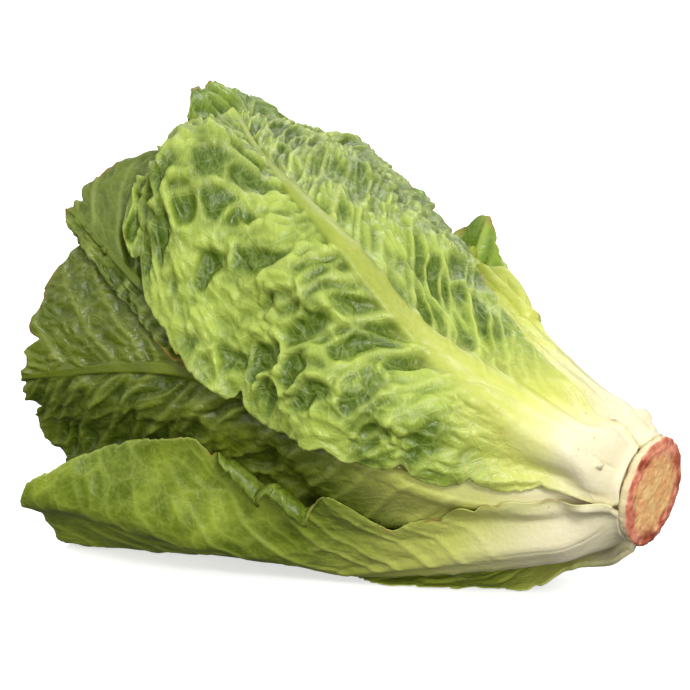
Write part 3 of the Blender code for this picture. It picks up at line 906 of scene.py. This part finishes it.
def stem_mesh():
    """The cut face, its ragged rim, the short side and the core that tapers away among the leaves."""
    turns = STEM_COLUMNS
    turn = np.linspace(0, 2 * math.pi, turns, endpoint=False)[None, :]
    face = np.linspace(0.02, 1, FACE_ROWS)[:, None] ** 0.8
    ragged = 1 + 0.018 * noise(turn * 4, 0 * turn, 1) + 0.014 * noise(turn * 13, 0 * turn, 2)
    radius = [(STEM_RADIUS - 0.7) * face * ragged]
    px, py = radius[0] * np.cos(turn), radius[0] * np.sin(turn)
    grain = 0.25 * layered(px / 3, py / 3, 3) + 0.12 * noise(px / 1.1, py / 1.1, 5)
    crack, _ = cellular(px / 3.4, py / 3.4, 9)
    depth = 0.25 * (1 - ease(crack * 4)) * ease((face - 0.35) / 0.3)
    ring = RING_HEIGHT * np.exp(-(((face - RING_AT) / 0.05) ** 2))
    ring = ring * (0.6 + 0.5 * noise(turn * 6, 0 * turn, 4))
    station = [0.6 - grain * ease((1.04 - face) / 0.2) + depth - ring - 0.5 * (1 - face ** 2)]
    sides = np.array([0.6, 1.2, 2.0, 3.0, 4.1])[:, None]
    radius.append(STEM_RADIUS * ragged * (1 - 0.012 * (sides - 2)) + 0.2 * noise(turn * 30, sides, 6))
    station.append(sides + 0.25 + 0 * turn)
    core = np.linspace(4.6, CORE_END - 1, CORE_ROWS)[:, None]
    radius.append(core_radius(core) + 0 * turn)
    station.append(core + 0 * turn)
    radius, station = np.concatenate(radius), np.concatenate(station)
    points = place(station, turn + 0 * station, radius)
    rows = len(points)
    cut_rows = len(face) + len(sides)
    head, tail = points[0].mean(0), place(np.array(CORE_END), np.array(0.0), np.array(0.0))
    index = np.arange(rows * turns).reshape(rows, turns)
    after = np.roll(index, -1, 1)
    quads = np.stack([index[:-1], index[1:], after[1:], after[:-1]], -1).reshape(-1, 4)
    points = points.reshape(-1, 3)
    part = np.clip(radius / STEM_RADIUS, 0, 1).reshape(-1)
    row = np.arange(rows)[:, None] + 0 * radius
    on_cut = (row < cut_rows).astype(float)
    on_side = on_cut * (row > len(face))
    wobble = 0.12 * noise(points[:, 1] / 5, points[:, 2] / 5, 2)
    heart = ease((RING_AT + wobble - part) / 0.3)
    fields = {"cut": on_cut.reshape(-1), "side": on_side.reshape(-1), "heart": heart}
    return points, quads, fields, head, tail, index


def add_stem():
    """The stem as a closed mesh: a fan of triangles closes the cut's middle, another one the core's end."""
    points, quads, fields, head, tail, index = stem_mesh()
    turns = index.shape[1]
    points = np.concatenate([points, [head, tail]])
    fields = {key: np.concatenate([value, [value[0], value[-1]]]) for key, value in fields.items()}
    mesh = bpy.data.meshes.new("stem_cut")
    faces = [tuple(q) for q in quads]
    last = index[-1]
    faces += [(int(index[0][i]), int(index[0][(i + 1) % turns]), len(points) - 2) for i in range(turns)]
    faces += [(int(last[(i + 1) % turns]), int(last[i]), len(points) - 1) for i in range(turns)]
    mesh.from_pydata(((points - ORIGIN) * 0.001).tolist(), [], faces)
    mesh.update()
    finish_mesh(mesh, fields)
    add_piece("stem_cut", mesh, stem_material(), "stem")


def add_piece(name, mesh, material, node):
    obj = bpy.data.objects.new(name, mesh)
    bpy.context.scene.collection.objects.link(obj)
    mesh.materials.append(material)
    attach(obj, "root")
    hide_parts(node)


# --- the heart leaves ------------------------------------------------------------------------------------

def heart_leaf(index):
    layer = HEART_LAYER + HEART_LAYER_STEP * index
    angle = HEART_FIRST_ANGLE + HEART_TURN * index
    start = HEART_START + HEART_START_STEP * index
    end = HEART_END - HEART_END_STEP * index
    shrink = 1 - HEART_WIDTH_STEP * index
    level = [float(head_radius(x * end) - layer * layer_step(x * end)) for x in WIDTH_AT]
    widths = [min(w * shrink, HEART_WRAP * max(r, 5)) for w, r in zip(HEART_WIDTHS, level)]
    name = "leaf_%02d_heart" % (len(OUTER) + len(SECOND) + index + 1)
    return Leaf(name, layer, start, end, (angle, angle + 3, angle - 2, angle), widths, widths, 20, (0, 0))


def heart_look(index):
    """Paler towards the middle of the head."""
    part = index / (HEART_COUNT - 1)
    light = tuple(a + (b - a) * part for a, b in zip((154, 178, 50), (228, 230, 124)))
    dark = tuple(a + (b - a) * part for a, b in zip((104, 132, 20), (200, 208, 80)))
    return Look(light, dark, 1.2, 0.8, 2.6, 1.4)


def build_head():
    """Lays the leaves from the heart outwards, each one on those already there."""
    layers = Layers()
    listed = [(heart_leaf(i), heart_look(i)) for i in reversed(range(HEART_COUNT))]
    listed += [(leaf, LOOKS.get(leaf.name, OTHER)) for leaf in SECOND + OUTER]
    for leaf, look in listed:
        heart = "heart" in leaf.name
        coarse = settle(leaf, COARSE_HEART_GRID if heart else COARSE_GRID, layers)
        grid = FINE_HEART_GRID if heart else FINE_GRIDS.get(leaf.name, FINE_OTHER_GRID)
        outer, inner, fields = fine_leaf(leaf, look, coarse, grid, layers)
        layers.add(outer, 4 if heart else 3)
        mesh = shell_mesh(leaf.name + "_blade", outer, inner, fields)
        add_piece(leaf.name + "_blade", mesh, leaf_material(leaf.name + "_tissue", look), leaf.name)


# --- camera, floor and light -----------------------------------------------------------------------------

CAMERA_AZIMUTH = 35.3
CAMERA_RISE = 13
CAMERA_DISTANCE = 976  # mm
CAMERA_TARGET = (-138.6, 0, 82.6)  # mm
FLOOR_HALF = 6  # m
LIGHT_AIM = (0, 0, 0.08)  # m


def add_camera():
    turn, rise = math.radians(CAMERA_AZIMUTH), math.radians(CAMERA_RISE)
    away = np.array([math.sin(turn) * math.cos(rise), -math.cos(turn) * math.cos(rise), math.sin(rise)])
    camera = bpy.data.objects.new("camera", bpy.data.cameras.new("camera"))
    bpy.context.scene.collection.objects.link(camera)
    camera.data.lens = 130
    camera.data.sensor_width = 36
    camera.data.clip_end = 20
    camera.location = (np.array(CAMERA_TARGET) + CAMERA_DISTANCE * away - ORIGIN) * 0.001
    camera.rotation_euler = (math.pi / 2 - rise, 0, turn)
    bpy.context.scene.camera = camera


def add_floor():
    mesh = bpy.data.meshes.new("floor")
    corners = [(x * FLOOR_HALF, y * FLOOR_HALF, 0) for x, y in ((-1, -1), (1, -1), (1, 1), (-1, 1))]
    mesh.from_pydata(corners, [], [(0, 1, 2, 3)])
    floor = bpy.data.objects.new("floor", mesh)
    bpy.context.scene.collection.objects.link(floor)
    paint = Paint("floor")
    paint.link((0.92, 0.92, 0.92, 1), paint.shader.inputs["Base Color"])
    paint.shader.inputs["Roughness"].default_value = 0.9
    paint.shader.inputs["Specular IOR Level"].default_value = 0.1
    paint.shader.inputs["Emission Color"].default_value = (1, 1, 1, 1)
    paint.shader.inputs["Emission Strength"].default_value = 0.6
    mesh.materials.append(paint.material)
    floor.visible_diffuse = False
    floor.visible_glossy = False


def add_light(name, at, size, power):
    """A round area light of this size in metres and power in watts, turned to the head."""
    light = bpy.data.lights.new(name, "AREA")
    light.shape = "DISK"
    light.size = size
    light.energy = power
    obj = bpy.data.objects.new(name, light)
    bpy.context.scene.collection.objects.link(obj)
    obj.location = at
    aim = np.array(at) - np.array(LIGHT_AIM)
    tilt = math.acos(aim[2] / np.linalg.norm(aim))
    obj.rotation_euler = (tilt, 0, math.atan2(aim[1], aim[0]) + math.pi / 2)


def add_world():
    """A white surround that is darker near the ground."""
    world = bpy.data.worlds.new("world")
    world.use_nodes = True
    world.node_tree.nodes["Background"].inputs["Color"].default_value = (1, 1, 1, 1)
    tree = world.node_tree
    height = tree.nodes.new("ShaderNodeSeparateXYZ")
    tree.links.new(tree.nodes.new("ShaderNodeTexCoord").outputs["Generated"], height.inputs[0])
    ramp = tree.nodes.new("ShaderNodeMapRange")
    tree.links.new(height.outputs["Z"], ramp.inputs["Value"])
    for key, value in (("From Min", -0.15), ("From Max", 0.6), ("To Min", 0.08), ("To Max", 0.9)):
        ramp.inputs[key].default_value = value
    tree.links.new(ramp.outputs["Result"], tree.nodes["Background"].inputs["Strength"])
    bpy.context.scene.world = world
    bpy.context.scene.view_settings.view_transform = "Standard"


def cut_centre():
    """The origin of the head's frame, measured from the point of the ground under the cut's centre."""
    low, high = (np.array(corner) * 1000 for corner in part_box("stem"))
    x = (STEM_RADIUS - 1) * math.sin(AXIS_RISE) - high[0]
    z = STEM_HEIGHT + STEM_RADIUS * math.cos(AXIS_RISE) + 3.4 * math.sin(AXIS_RISE) - high[2]
    return np.array([x, -(low[1] + high[1]) / 2, z])


ORIGIN = cut_centre()
FLOOR_Z = ORIGIN[2]
build_head()
add_stem()
add_floor()
add_world()
add_light("key", (1.05, -0.95, 0.95), 0.35, 11)
add_light("fill", (-0.9, -1.1, 0.6), 1.0, 1.5)
add_light("low", (1.05, -1.05, 0.2), 0.6, 7.5)
add_light("back", (-0.2, 1.2, 1.2), 0.8, 5)
add_camera()
